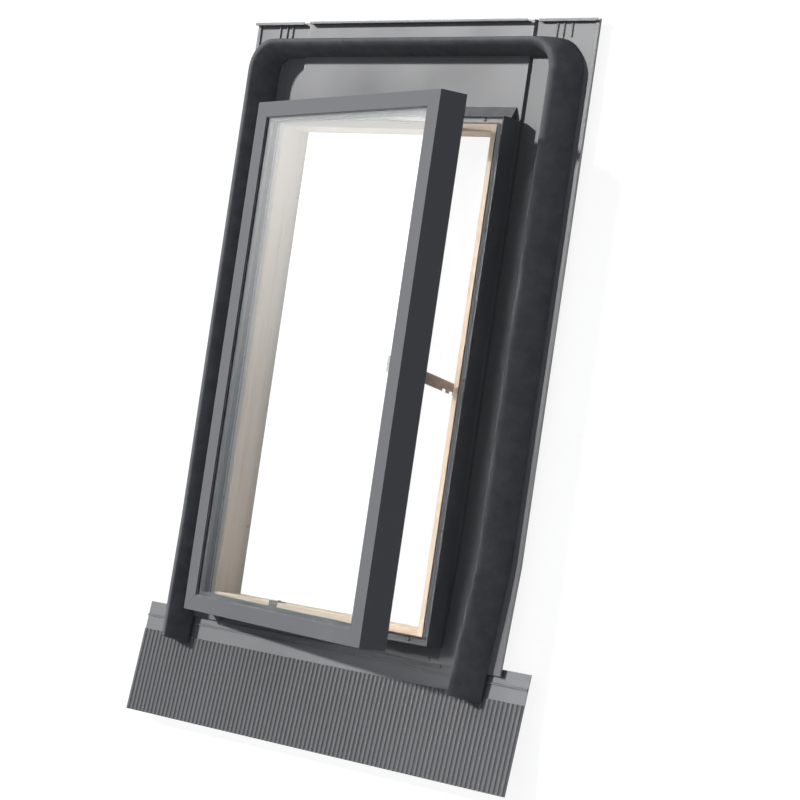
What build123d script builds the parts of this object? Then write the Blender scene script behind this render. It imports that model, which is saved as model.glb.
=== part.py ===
from build123d import *
import os
from math import atan, cos, degrees, pi, radians, sin, tan

# Roof skylight lying flat: X runs across the opening, Y runs up the roof slope, Z points out of the roof.
# All sizes are in millimetres, measured from the centre of the clear opening, at the frame's underside.

# Timber frame
OPENING_WIDTH = 450.0
OPENING_LENGTH = 730.0
FRAME_DEPTH = 52.0
BOARD_WIDTH = 21.0
LAND_WIDTH = 10.5
LAND_HEIGHT = 5.8
FINGER_COUNT = 3
BOARD_CHAMFER = 1.2

# Sheet metal round the frame
SHEET = 0.8
FOLD_GAP = 0.1
FLASHING_HEIGHT = 11.0
UPSTAND_DROP = 17.0
COVER_FOOT = 9.5
COVER_HEM_WIDTH = 2.0
COVER_HEM_HEIGHT = 5.0
SIDE_SHEET_WIDTH = 126.0
HEAD_SHEET_LENGTH = 150.0
SILL_SHEET_LENGTH = 30.0
SIDE_SHEET_TAIL = 24.0
TAIL_BEND = 132.0
TAIL_SLOPE = 0.065
EDGE_HEM_WIDTH = 9.0
EDGE_HEM_HEIGHT = 2.2
RIB_WIDTH = 6.0
RIB_HEIGHT = 2.0
RIB_CREST = 2.0
RIB_OFFSETS = (42.0, 55.0)
OUTER_RIB_OFFSET = 71.5
SEAM_WIDTH = 9.0
SEAM_INSET = 0.5
SEAM_SLOPE = 0.25
HEAD_SHEET_STEP = 5.0
TOP_FOLD_HEIGHT = 8.0
TOP_FOLD_WIDTH = 4.0
GUTTER_STRIP_WIDTH = 19.0
GUTTER_STRIP_HEIGHT = 10.0
GUTTER_STRIP_INSET = 12.0
SILL_HEM_WIDTH = 5.0
SILL_HEM_HEIGHT = 1.4

# Foam collar, one moulded piece in the shape of an upside-down U
SIDE_GUTTER = 61.0
HEAD_GUTTER = 93.5
FOAM_SIDE_WIDTH = 46.0
FOAM_HEAD_WIDTH = 28.5
FOAM_HEIGHT = 44.0
FOAM_CREST_WIDTH = 3.0
FOAM_LEAN = 18.5
FOAM_ROUND_IN = 9.0
FOAM_ROUND_OUT = 16.0
FOAM_STEPS = 5
FOAM_FOOT_RADIUS = 30.0
FOAM_CREST_RADIUS = 46.0
FOAM_EDGE_RADIUS = 56.0
FOAM_LEG_LENGTH = 60.0
FOAM_LEG_BEVEL = 6.5
FOAM_LEG_TAPER = 10.0

# Pleated apron below the frame
APRON_OVERLAP = 14.0
APRON_BAND = 44.0
PLEATS_LENGTH = 130.0
PLEAT_COUNT = 91
PLEAT_HEIGHT = 3.2
PLEAT_CREST = 0.46
APRON_SHEET = 1.0
APRON_SIDE_REACH = 51.0
APRON_HEIGHT = 13.0
APRON_SLOPE = 0.109
APRON_RIB_OFFSET = 20.0
APRON_RIB_WIDTH = 4.0
APRON_RIB_HEIGHT = 2.0

# Glazed sash, given in its closed place
SASH_SIDE_REACH = 51.0
SASH_END_REACH = 35.0
SASH_RISE = 18.0
SASH_DEPTH = 44.0
HINGE_SKIRT_DEPTH = 28.0
SIDE_FACE_WIDTH = 32.0
END_FACE_WIDTH = 24.0
FACE_WALL = 1.8
SKIRT_WALL = 1.6
WEB_WALL = 1.5
CHAMBER_DEPTH = 8.2
SASH_LIP_GAP = 2.0
LIP_WALL = 1.5
LAND_TO_LIP = 0.6
PANE_EDGE_GAP = 0.2
OUTER_PANE = 4.0
CAVITY = 6.0
INNER_PANE = 3.0
PANE_GAP = 0.05
SPACER_WIDTH = 7.0
SPACER_INSET = 4.0
GLAZING_SEAL_SHOW = 1.2
GLASS_SEAT_SIDE = 10.3
GLASS_SEAT_END = 2.3
CORNER_KEY_LEG = 34.0
CORNER_KEY_GAP = 0.15
FRAME_SEAL_WIDTH = 2.0
FRAME_SEAL_GAP = 0.2
RUNNING_GAP = 0.05

# Hinges on the left side
HINGE_OFFSET = 20.0
HINGE_DROP = 1.5
HINGE_SPACING = 500.0
HINGE_LENGTH = 48.0
HINGE_MIDDLE = 16.0
HINGE_SIDE_GAP = 0.4
KNUCKLE_RADIUS = 5.0
HINGE_PIN_RADIUS = 2.5
HINGE_LEAF = 2.0
HINGE_ARM = 2.4
HINGE_ARM_RISE = 1.4
HINGE_NECK = 3.0
FRAME_LEAF_DROP = 28.0
SASH_LEAF_WIDTH = 18.0
OPEN_ANGLE = 13.13

# Stay with its bracket, tilting link, flat bar and peg
STAY_Y = 5.5
STAY_INSET = 8.0
STAY_DROP = 4.0
STAY_LEAN = 9.5
STAY_KNUCKLE_RADIUS = 4.0
STAY_PIN_RADIUS = 2.0
STAY_KNUCKLE_LENGTH = 24.0
STAY_LINK_LENGTH = 8.0
STAY_SIDE_GAP = 0.3
STAY_PLATE = 1.5
STAY_BAR_LENGTH = 146.0
STAY_BAR_WIDTH = 17.0
STAY_BAR_WALL = 2.5
STAY_RIVET_DROP = 13.0
STAY_RIVET_RADIUS = 2.5
STAY_RIVET_HEAD = 1.2
STAY_LINK_WIDTH = 14.0
NOTCH_PITCH = 15.0
NOTCH_DEPTH = 4.5
NOTCH_HEIGHT = 8.0
NOTCH_COUNT = 2
PEG_RADIUS = 3.0
PEG_FROM_TIP = 12.6
PEG_CLEARANCE = 1.2
PEG_PLATE_WIDTH = 22.0
PEG_PLATE_HEIGHT = 34.0
PEG_PLATE_WALL = 2.0

# Keeper on the bottom board
KEEPER_X = -88.0
KEEPER_WIDTH = 17.0
KEEPER_WALL = 1.5
KEEPER_TAB = 18.0

# Screws and fixing holes
SCREW_HEAD_RADIUS = 3.2
SCREW_HEAD_HEIGHT = 1.6
SCREW_SHANK_RADIUS = 1.6
SCREW_LENGTH = 14.0
SCREW_CLEARANCE = 0.1
COVER_SCREW_SPACING = 220.0
COVER_SCREW_MARGIN = 20.0
SCREW_HEAD_SIDES = 12
SCREW_SHANK_SIDES = 6
FIXING_HOLE_RADIUS = 2.5
FIXING_HOLE_HEIGHT = 5.0
FIXING_HOLE_SPACING = 520.0

# Sizes worked out from the values above
HALF_WIDTH = OPENING_WIDTH / 2
HALF_LENGTH = OPENING_LENGTH / 2
BOARD_TOP = FRAME_DEPTH - LAND_HEIGHT
UPSTAND_IN = BOARD_WIDTH + FOLD_GAP
UPSTAND_OUT = UPSTAND_IN + SHEET
COVER_IN = UPSTAND_OUT + 3 * FOLD_GAP
COVER_OUT = COVER_IN + SHEET
COVER_FLOOR = BOARD_TOP + SHEET
UPSTAND_HEIGHT = FRAME_DEPTH - UPSTAND_DROP - FLASHING_HEIGHT
COVER_X = HALF_WIDTH + COVER_OUT
COVER_Y = HALF_LENGTH + COVER_OUT
SHEET_EDGE_X = COVER_X + SIDE_SHEET_WIDTH
SHEET_TOP_Y = COVER_Y + HEAD_SHEET_LENGTH
TAIL_Y = -(COVER_Y - TAIL_BEND)
SIDE_TAIL_Y = -(COVER_Y + SIDE_SHEET_TAIL)
SEAM_X = COVER_X - SEAM_INSET
HEAD_HEIGHT = FLASHING_HEIGHT + HEAD_SHEET_STEP
APRON_TOP_Y = -(COVER_Y + APRON_OVERLAP)
PLEATS_Y = APRON_TOP_Y - APRON_BAND
APRON_END_Y = PLEATS_Y - PLEATS_LENGTH
APRON_EDGE_X = SHEET_EDGE_X + APRON_SIDE_REACH
PLEAT_PITCH = 2 * APRON_EDGE_X / PLEAT_COUNT
SASH_X = HALF_WIDTH + SASH_SIDE_REACH
SASH_Y = HALF_LENGTH + SASH_END_REACH
FACE_X = SASH_X - SIDE_FACE_WIDTH
FACE_Y = SASH_Y - END_FACE_WIDTH
LIP_BOTTOM = FRAME_DEPTH + LAND_TO_LIP
LIP_TOP = LIP_BOTTOM + LIP_WALL
INNER_PANE_Z = LIP_TOP
CAVITY_Z = INNER_PANE_Z + INNER_PANE
OUTER_PANE_Z = CAVITY_Z + CAVITY
GLASS_TOP = OUTER_PANE_Z + OUTER_PANE
SASH_FRONT = FRAME_DEPTH + SASH_RISE
FACE_BOTTOM = SASH_FRONT - FACE_WALL
CHAMBER_BOTTOM = FACE_BOTTOM - CHAMBER_DEPTH
LIP_REACH = LAND_WIDTH + SASH_LIP_GAP
LEG_X = HALF_WIDTH + LIP_REACH + GLASS_SEAT_SIDE
LEG_Y = HALF_LENGTH + LIP_REACH + GLASS_SEAT_END
LEG_OUT = LEG_X + WEB_WALL
HINGE_X = -(COVER_X + HINGE_OFFSET)
HINGE_Z = FRAME_DEPTH - HINGE_DROP
BOX_CENTRE_Y = (SHEET_TOP_Y + APRON_END_Y) / 2


def block(x0, x1, y0, y1, z0, z1):
    """A box between two corners."""
    return Pos((x0 + x1) / 2, (y0 + y1) / 2, (z0 + z1) / 2) * Box(abs(x1 - x0), abs(y1 - y0), abs(z1 - z0))


def ring(outer_x, outer_y, inner_x, inner_y, z0, z1):
    """A rectangular ring round the opening, given by half sizes."""
    hole = block(-inner_x, inner_x, -inner_y, inner_y, z0 - 1, z1 + 1)
    return block(-outer_x, outer_x, -outer_y, outer_y, z0, z1) - hole


def along_y(points, y0, y1, rise=0.0):
    """A section of X and Z points carried from y0 to y1, while it rises by rise."""
    face = Face(Wire.make_polygon([(x, y0, z) for x, z in points]))
    return Solid.extrude(face, Vector(0, y1 - y0, rise))


def along_x(points, x0, x1):
    """A section of Y and Z points carried from x0 to x1."""
    face = Face(Wire.make_polygon([(x0, y, z) for y, z in points]))
    return Solid.extrude(face, Vector(x1 - x0, 0, 0))


def rod(radius, start, direction, length):
    """A round rod from a point along a direction."""
    plane = Plane(origin=start, z_dir=direction)
    return extrude(plane * Circle(radius), length)


def mirrored(shape):
    """The same shape on the other side of the opening."""
    return mirror(shape, about=Plane.YZ)


def joined(shapes):
    """One solid fused from overlapping pieces."""
    body = shapes[0]
    for shape in shapes[1:]:
        body = body + shape
    return body


def group(shapes):
    """Separate solids of one kind kept together."""
    return Compound([solid for shape in shapes for solid in shape.solids()])


def mitre_region(side, outer, inner):
    """The part of a rectangular ring that belongs to one side, cut on the corner lines."""
    (ox, oy), (ix, iy) = outer, inner
    far = (2 * ox - ix, 2 * oy - iy)
    near = (ix - (ox - ix), iy - (oy - iy))
    corners = {
        "right": [(far[0], far[1]), (near[0], near[1]), (near[0], -near[1]), (far[0], -far[1])],
        "top": [(far[0], far[1]), (near[0], near[1]), (-near[0], near[1]), (-far[0], far[1])],
    }
    corners["left"] = [(-x, y) for x, y in corners["right"]]
    corners["bottom"] = [(x, -y) for x, y in corners["top"]]
    face = Face(Wire.make_polygon([(x, y, -10) for x, y in corners[side]]))
    return Solid.extrude(face, Vector(0, 0, 2 * SASH_FRONT))


def screw():
    """A pan-head screw that points down, with the underside of its head at the origin."""
    rim = SCREW_HEAD_HEIGHT * 0.4
    head = extrude(RegularPolygon(SCREW_HEAD_RADIUS, SCREW_HEAD_SIDES), rim)
    crown_foot = Pos(0, 0, rim) * RegularPolygon(SCREW_HEAD_RADIUS, SCREW_HEAD_SIDES)
    crown_top = Pos(0, 0, SCREW_HEAD_HEIGHT) * RegularPolygon(SCREW_HEAD_RADIUS * 0.6, SCREW_HEAD_SIDES)
    crown = loft([crown_foot, crown_top], ruled=True)
    shank = extrude(RegularPolygon(SCREW_SHANK_RADIUS, SCREW_SHANK_SIDES), -SCREW_LENGTH)
    return head + crown + shank


def screw_hole(extra=0.0):
    """The hole that a screw's shank passes through."""
    outline = Pos(0, 0, SCREW_HEAD_HEIGHT) * RegularPolygon(SCREW_SHANK_RADIUS + extra, SCREW_SHANK_SIDES)
    return extrude(outline, -(SCREW_LENGTH + SCREW_HEAD_HEIGHT))


def cover_screw_places():
    """Where the channel floor is screwed to the boards."""
    x = HALF_WIDTH + (LAND_WIDTH + FRAME_SEAL_WIDTH + COVER_IN) / 2
    y = HALF_LENGTH + (LAND_WIDTH + FRAME_SEAL_WIDTH + COVER_IN) / 2
    rows = int((HALF_LENGTH - COVER_SCREW_MARGIN) // COVER_SCREW_SPACING)
    ys = [row * COVER_SCREW_SPACING for row in range(-rows, rows + 1)]
    sides = [Pos(side * x, place, COVER_FLOOR) for side in (-1, 1) for place in ys]
    far_x = HALF_WIDTH - COVER_SCREW_MARGIN
    ends = [Pos(side * far_x, end * y, COVER_FLOOR) for side in (-1, 1) for end in (-1, 1)]
    return sides + ends


def hinge_rows():
    """The Y places of the two hinges."""
    return (-HINGE_SPACING / 2, HINGE_SPACING / 2)


def hinge_screw_places():
    """Screws that hold the frame leaves to the outside of the left board."""
    x = -(COVER_X + HINGE_LEAF)
    z = HINGE_Z - FRAME_LEAF_DROP * 0.4
    step = HINGE_LENGTH * 0.3
    return [Pos(x, y + side * step, z) * Rot(0, -90, 0) for y in hinge_rows() for side in (-1, 1)]


def peg_screw_places():
    """Screws that hold the peg plate to the inside of the right board."""
    x = HALF_WIDTH - PEG_PLATE_WALL
    step = PEG_PLATE_HEIGHT * 0.34
    y, z = peg_centre()
    return [Pos(x, y, z + side * step) * Rot(0, -90, 0) for side in (-1, 1)]


def keeper_screw_places():
    """The screw that holds the keeper to the inside face of the bottom board."""
    y = -(HALF_LENGTH - KEEPER_WALL)
    z = FRAME_DEPTH - KEEPER_TAB * 0.65
    return [Pos(KEEPER_X, y, z) * Rot(-90, 0, 0)]


def board_ring():
    """The four boards as one ring, with the rebate round the raised land."""
    outer_x = HALF_WIDTH + BOARD_WIDTH
    outer_y = HALF_LENGTH + BOARD_WIDTH
    base = ring(outer_x, outer_y, HALF_WIDTH, HALF_LENGTH, 0, BOARD_TOP)
    land_x = HALF_WIDTH + LAND_WIDTH
    land_y = HALF_LENGTH + LAND_WIDTH
    land = ring(land_x, land_y, HALF_WIDTH, HALF_LENGTH, BOARD_TOP, FRAME_DEPTH)
    body = base + land
    inner = [edge for edge in body.edges().group_by(Axis.Z)[-1] if abs(edge.center().X) < HALF_WIDTH + 0.1
             and abs(edge.center().Y) < HALF_LENGTH + 0.1]
    return chamfer(inner, BOARD_CHAMFER)


def stile_region(side):
    """The share of the board ring that a side board takes, with fingers at its ends."""
    x0 = HALF_WIDTH
    x1 = HALF_WIDTH + BOARD_WIDTH
    frame_end = HALF_LENGTH + BOARD_WIDTH
    body = block(x0, x1, -HALF_LENGTH, HALF_LENGTH, 0, FRAME_DEPTH)
    step = BOARD_TOP / FINGER_COUNT
    for level in range(0, FINGER_COUNT, 2):
        top = FRAME_DEPTH if level == FINGER_COUNT - 1 else (level + 1) * step
        body = body + block(x0, x1, -frame_end, frame_end, level * step, top)
    return body if side > 0 else mirrored(body)


def board_holes():
    """Every hole that is bored in the boards."""
    places = cover_screw_places() + hinge_screw_places() + peg_screw_places() + keeper_screw_places()
    holes = [place * screw_hole() for place in places]
    for side in (-1, 1):
        for end in (-1, 1):
            start = (side * (HALF_WIDTH - 1), end * FIXING_HOLE_SPACING / 2, FIXING_HOLE_HEIGHT)
            holes.append(rod(FIXING_HOLE_RADIUS, start, (side, 0, 0), BOARD_WIDTH + 2))
    return holes


def frame_boards():
    """Two side boards and two end boards, finger-jointed at the corners."""
    whole = board_ring()
    for hole in board_holes():
        whole = whole - hole
    left = whole & stile_region(-1)
    right = whole & stile_region(1)
    ends = whole - stile_region(-1) - stile_region(1)
    top = ends & block(-HALF_WIDTH * 2, HALF_WIDTH * 2, 0, HALF_LENGTH * 2, -1, FRAME_DEPTH + 1)
    bottom = ends & block(-HALF_WIDTH * 2, HALF_WIDTH * 2, -HALF_LENGTH * 2, 0, -1, FRAME_DEPTH + 1)
    return {"board_left": left, "board_right": right, "board_top": top, "board_bottom": bottom}


def frame_covers():
    """Four mitred aluminium covers: a channel floor, an outer wall and a folded rim."""
    outer = (COVER_X, COVER_Y)
    wall_in = (HALF_WIDTH + COVER_IN, HALF_LENGTH + COVER_IN)
    floor_in = (HALF_WIDTH + LAND_WIDTH + FOLD_GAP, HALF_LENGTH + LAND_WIDTH + FOLD_GAP)
    hem_in = (COVER_X - COVER_HEM_WIDTH, COVER_Y - COVER_HEM_WIDTH)
    wall_foot = FLASHING_HEIGHT + COVER_FOOT
    whole = ring(*outer, *wall_in, wall_foot, FRAME_DEPTH)
    whole = whole + ring(*outer, *floor_in, BOARD_TOP, COVER_FLOOR)
    whole = whole + ring(*outer, *hem_in, FRAME_DEPTH - COVER_HEM_HEIGHT * 0.3, FRAME_DEPTH)
    for place in cover_screw_places() + hinge_screw_places():
        whole = whole - place * screw_hole(SCREW_CLEARANCE)
    inner = (COVER_X - BOARD_WIDTH, COVER_Y - BOARD_WIDTH)
    sides = ("left", "right", "top", "bottom")
    return {f"cover_{side}": whole & mitre_region(side, outer, inner) for side in sides}


def frame_seal():
    """The rubber strip between the raised land and the channel, which the sash lip presses on."""
    inner = (HALF_WIDTH + LAND_WIDTH + 2 * FOLD_GAP, HALF_LENGTH + LAND_WIDTH + 2 * FOLD_GAP)
    outer = (inner[0] + FRAME_SEAL_WIDTH, inner[1] + FRAME_SEAL_WIDTH)
    top = LIP_BOTTOM - FRAME_SEAL_GAP
    body = ring(*outer, *inner, COVER_FLOOR, top)
    rim = body.edges().group_by(Axis.Z)[-1]
    return chamfer(rim, FRAME_SEAL_WIDTH * 0.3)


def rib_points(centre):
    """The top line of one pressed rib, from its inner foot to its outer foot."""
    half = RIB_WIDTH / 2
    crest = RIB_CREST / 2
    low = FLASHING_HEIGHT
    return [(centre - half, low), (centre - crest, low + RIB_HEIGHT), (centre + crest, low + RIB_HEIGHT),
            (centre + half, low)]


def side_sheet_section(inner_x, fold):
    """The section of a side flashing: inner fold, ribs and the folded outer edge."""
    low = FLASHING_HEIGHT
    top = [(inner_x, low + fold), (inner_x + SHEET, low + fold), (inner_x + SHEET, low)]
    for offset in RIB_OFFSETS:
        top += rib_points(COVER_X + offset)
    hem_x = SHEET_EDGE_X - EDGE_HEM_WIDTH
    top += [(hem_x, low), (hem_x + EDGE_HEM_HEIGHT * 0.6, low + EDGE_HEM_HEIGHT)]
    top += [(SHEET_EDGE_X - 1, low + EDGE_HEM_HEIGHT), (SHEET_EDGE_X, low + EDGE_HEM_HEIGHT * 0.4)]
    under = [(SHEET_EDGE_X, low - SHEET), (hem_x, low - SHEET)]
    for offset in reversed(RIB_OFFSETS):
        under += [(x, z - SHEET) for x, z in reversed(rib_points(COVER_X + offset))]
    under += [(inner_x, low - SHEET)]
    return top + under


def side_flashing():
    """The right side flashing, with the folds that meet the frame, the head sheet and the roof."""
    upstand_x = HALF_WIDTH + UPSTAND_IN
    seam_x = SEAM_X - SEAM_WIDTH / 2
    corner_y = HALF_LENGTH + UPSTAND_OUT
    frame_end_y = -corner_y
    beside = along_y(side_sheet_section(upstand_x, UPSTAND_HEIGHT), TAIL_Y, corner_y)
    drop_one = (TAIL_Y - frame_end_y) * TAIL_SLOPE
    tail = along_y(side_sheet_section(upstand_x, UPSTAND_HEIGHT), TAIL_Y, frame_end_y, drop_one)
    low = side_sheet_section(upstand_x, -SHEET * 0.5)
    end = along_y([(x, z + drop_one) for x, z in low], frame_end_y, SIDE_TAIL_Y,
                  (frame_end_y - SIDE_TAIL_Y) * TAIL_SLOPE)
    seam_fold = HEAD_SHEET_STEP - SHEET - 2 * FOLD_GAP
    above = along_y(side_sheet_section(seam_x, seam_fold), corner_y + 2 * FOLD_GAP, SHEET_TOP_Y)
    bridge = block(upstand_x, SHEET_EDGE_X - EDGE_HEM_WIDTH, corner_y - 1, corner_y + 1,
                   FLASHING_HEIGHT - SHEET, FLASHING_HEIGHT)
    fold = top_fold(HALF_WIDTH + COVER_OUT + SEAM_WIDTH, SHEET_EDGE_X, FLASHING_HEIGHT)
    outer_rib_y = COVER_Y + HEAD_GUTTER + FOAM_HEAD_WIDTH + 2
    outer_rib = along_y(rib_points(COVER_X + OUTER_RIB_OFFSET), outer_rib_y, SHEET_TOP_Y)
    return joined([beside, tail, end, above, bridge, fold, outer_rib])


def top_fold(x0, x1, low):
    """The upturned top edge, folded back towards the ridge of the roof."""
    y = SHEET_TOP_Y - TOP_FOLD_WIDTH
    points = [(y, low - SHEET), (y + SHEET, low - SHEET), (y + SHEET, low + TOP_FOLD_HEIGHT - SHEET),
              (SHEET_TOP_Y, low + TOP_FOLD_HEIGHT - SHEET), (SHEET_TOP_Y, low + TOP_FOLD_HEIGHT),
              (y, low + TOP_FOLD_HEIGHT)]
    return along_x(points, x0, x1)


def head_sheet_section():
    """The section of the head flashing: a raised tray with its edges folded down over the side sheets."""
    foot = FLASHING_HEIGHT + FOLD_GAP
    shoulder = SEAM_X - HEAD_SHEET_STEP * SEAM_SLOPE
    right = [(shoulder, HEAD_HEIGHT), (SEAM_X, foot), (SEAM_X - SHEET, foot),
             (shoulder - SHEET, HEAD_HEIGHT - SHEET)]
    left = [(-x, z) for x, z in right]
    return right + list(reversed(left))


def head_flashing():
    """The sheet above the frame, with its upstand behind the top cover."""
    start = HALF_LENGTH + UPSTAND_IN
    seam_start = COVER_Y + 2 * FOLD_GAP
    sheet = along_y(head_sheet_section(), seam_start, SHEET_TOP_Y)
    half = HALF_WIDTH + BOARD_WIDTH - FOLD_GAP
    neck_x = half - SEAM_WIDTH
    neck = block(-neck_x, neck_x, start, seam_start + 1, HEAD_HEIGHT - SHEET, HEAD_HEIGHT)
    upstand = block(-half, half, start, start + SHEET, HEAD_HEIGHT - SHEET, HEAD_HEIGHT + UPSTAND_HEIGHT)
    inner = SEAM_X - SEAM_WIDTH
    return joined([sheet, neck, upstand, top_fold(-inner, inner, HEAD_HEIGHT)])


def gutter_strip():
    """The dark wedge that turns water away from the top of the frame."""
    y0 = COVER_Y + FOLD_GAP
    y1 = y0 + GUTTER_STRIP_WIDTH
    low = HEAD_HEIGHT
    half = COVER_X - GUTTER_STRIP_INSET
    return along_x([(y0, low), (y1, low), (y1, low + 1), (y0, low + GUTTER_STRIP_HEIGHT)], -half, half)


def apron_top(y):
    """The height of the apron's flat band at a place along Y."""
    return APRON_HEIGHT + (APRON_TOP_Y - y) * APRON_SLOPE


def sill_flashing():
    """The sheet below the frame, which steps up over the apron and ends in a folded edge."""
    half = HALF_WIDTH + BOARD_WIDTH - FOLD_GAP
    y0 = -(HALF_LENGTH + UPSTAND_IN)
    end = -(COVER_Y + SILL_SHEET_LENGTH)
    low = FLASHING_HEIGHT
    lap = apron_top(APRON_TOP_Y) + SHEET + FOLD_GAP
    end_z = apron_top(end) + SHEET + FOLD_GAP
    bend = APRON_TOP_Y + (lap - low) * 3
    hem = end + SILL_HEM_WIDTH
    hem_foot = apron_top(hem + 1) + SHEET + FOLD_GAP
    hem_z = hem_foot + SILL_HEM_HEIGHT
    high = low + UPSTAND_HEIGHT
    points = [(y0, high), (y0 - SHEET, high), (y0 - SHEET, low), (bend, low), (APRON_TOP_Y, lap),
              (hem + 1, hem_foot), (hem, hem_z), (end + SHEET, hem_z), (end, end_z), (end, end_z - SHEET),
              (APRON_TOP_Y, lap - SHEET), (bend, low - SHEET), (y0, low - SHEET)]
    body = along_x(points, -half, half)
    for place in sill_screw_places():
        body = body - place * screw_hole(SCREW_CLEARANCE)
    return body


def sill_screw_places():
    """The short rivet-like screws that pin the sill sheet to the apron."""
    y = APRON_TOP_Y - APRON_OVERLAP * 0.4
    z = apron_top(y) + SHEET + 2 * FOLD_GAP
    x = HALF_WIDTH - 6
    tilt = degrees(atan(APRON_SLOPE))
    return [Pos(side * x, y, z) * Rot(-tilt, 0, 0) for side in (-1, 1)]


def foam_levels():
    """Height of each step of the arched section, with the inset of its inner and its outer side."""
    run = FOAM_SIDE_WIDTH - FOAM_LEAN - FOAM_CREST_WIDTH
    levels = []
    for step in range(FOAM_STEPS + 1):
        turn = pi / 2 * step / FOAM_STEPS
        climb = sin(turn)
        bend = 1 - cos(turn)
        inner = (FOAM_LEAN - FOAM_ROUND_IN) * climb + FOAM_ROUND_IN * bend
        outer = (run - FOAM_ROUND_OUT) * climb + FOAM_ROUND_OUT * bend
        levels.append((FOAM_HEIGHT * climb, inner, outer))
    return levels


def foam_outline(half_x, top_y, radius, z):
    """A rounded rectangle at one height, long enough to be cut off at the bend of the legs."""
    low_y = TAIL_Y - 3 * FOAM_EDGE_RADIUS
    return Pos(0, (top_y + low_y) / 2, z) * RectangleRounded(2 * half_x, top_y - low_y, radius)


def foam_leg_end():
    """Where the feet of the legs end, below the frame."""
    return -(COVER_Y + FOAM_LEG_LENGTH + FOAM_LEG_BEVEL)


def foam_leg_base(y):
    """The height of the leg's underside, which climbs with the sheet below the bend."""
    return FLASHING_HEIGHT + (TAIL_Y - y) * TAIL_SLOPE


def foam_leg_section(y):
    """The section of the right leg at a place below the bend, narrower toward its end."""
    foot = COVER_X + SIDE_GUTTER
    base = foam_leg_base(y)
    taper = FOAM_LEG_TAPER * (TAIL_Y - y) / (TAIL_Y - foam_leg_end())
    edge = foot + FOAM_SIDE_WIDTH - taper
    lean = 1 - taper / FOAM_LEAN
    levels = foam_levels()
    points = [(foot + inner * lean, base + height) for height, inner, _ in levels]
    points += [(edge - outer, base + height) for height, _, outer in reversed(levels)]
    return Face(Wire.make_polygon([(x, y, z) for x, z in points]))


def foam_leg():
    """The lower end of the right leg, which climbs onto the apron and is cut on a bevel."""
    end = foam_leg_end()
    beyond = end - FOAM_LEG_BEVEL
    body = Solid(loft([foam_leg_section(TAIL_Y), foam_leg_section(beyond)], ruled=True).wrapped)
    low_z = foam_leg_base(end) - FOAM_HEIGHT
    high_z = foam_leg_base(end) + 2 * FOAM_HEIGHT
    points = [(end - FOAM_LEG_BEVEL, low_z), (end + 2 * FOAM_LEG_BEVEL, high_z),
              (end - 2 * FOAM_LEG_BEVEL, high_z), (end - 2 * FOAM_LEG_BEVEL, low_z)]
    return body - along_x(points, COVER_X, SHEET_EDGE_X)


def foam_crown():
    """The outside of the collar above the bend, filled up to the middle."""
    edge = COVER_X + SIDE_GUTTER + FOAM_SIDE_WIDTH
    edge_y = COVER_Y + HEAD_GUTTER + FOAM_HEAD_WIDTH
    run = FOAM_SIDE_WIDTH - FOAM_LEAN - FOAM_CREST_WIDTH
    run_y = FOAM_HEAD_WIDTH - FOAM_LEAN - FOAM_CREST_WIDTH
    sections = []
    for height, _, outer in foam_levels():
        share = outer / run
        radius = FOAM_EDGE_RADIUS + (FOAM_CREST_RADIUS - FOAM_EDGE_RADIUS) * share
        sections.append(foam_outline(edge - outer, edge_y - run_y * share, radius, FLASHING_HEIGHT + height))
    return loft(sections, ruled=True)


def foam_core():
    """The space inside the collar, a little taller than the collar at both ends."""
    foot = COVER_X + SIDE_GUTTER
    foot_y = COVER_Y + HEAD_GUTTER
    levels = [(height, inner) for height, inner, _ in foam_levels()]
    levels = [(-FOAM_HEIGHT, 0)] + levels + [(FOAM_HEIGHT * 1.5, FOAM_LEAN)]
    sections = []
    for height, inner in levels:
        radius = FOAM_FOOT_RADIUS + (FOAM_CREST_RADIUS - FOAM_FOOT_RADIUS) * inner / FOAM_LEAN
        sections.append(foam_outline(foot + inner, foot_y + inner, radius, FLASHING_HEIGHT + height))
    return loft(sections, ruled=True)


def foam_collar():
    """The foam collar: an arched bar across the head and two legs beside the frame."""
    edge = COVER_X + SIDE_GUTTER + FOAM_SIDE_WIDTH
    body = foam_crown() - foam_core()
    body = body - block(-2 * edge, 2 * edge, TAIL_Y, TAIL_Y - 6 * FOAM_EDGE_RADIUS, 0, 4 * FOAM_HEIGHT)
    body = body - head_step_clearance()
    leg = foam_leg()
    return joined([body, leg, mirrored(leg)])


def head_step_clearance():
    """The room under the collar's top bar for the raised head sheet and the pressed ribs."""
    y1 = COVER_Y + HEAD_GUTTER + FOAM_HEAD_WIDTH + 5
    outer = SEAM_X + 2 * FOLD_GAP
    room = block(-outer, outer, COVER_Y, y1, 0, HEAD_HEIGHT)
    for offset in RIB_OFFSETS:
        centre = COVER_X + offset
        half = RIB_WIDTH / 2 + FOLD_GAP
        side = block(centre - half, centre + half, COVER_Y, y1, 0, FLASHING_HEIGHT + RIB_HEIGHT + FOLD_GAP)
        room = room + side + mirrored(side)
    return room


def pleat_line(z):
    """The top line of all the pleats, from the left edge to the right edge."""
    rise = PLEAT_PITCH * (1 - PLEAT_CREST) / 2
    points = []
    for number in range(PLEAT_COUNT):
        x = number * PLEAT_PITCH - APRON_EDGE_X
        crest = z + PLEAT_HEIGHT
        points += [(x, z), (x + rise, crest), (x + PLEAT_PITCH - rise, crest)]
    return points + [(APRON_EDGE_X, z)]


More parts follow.
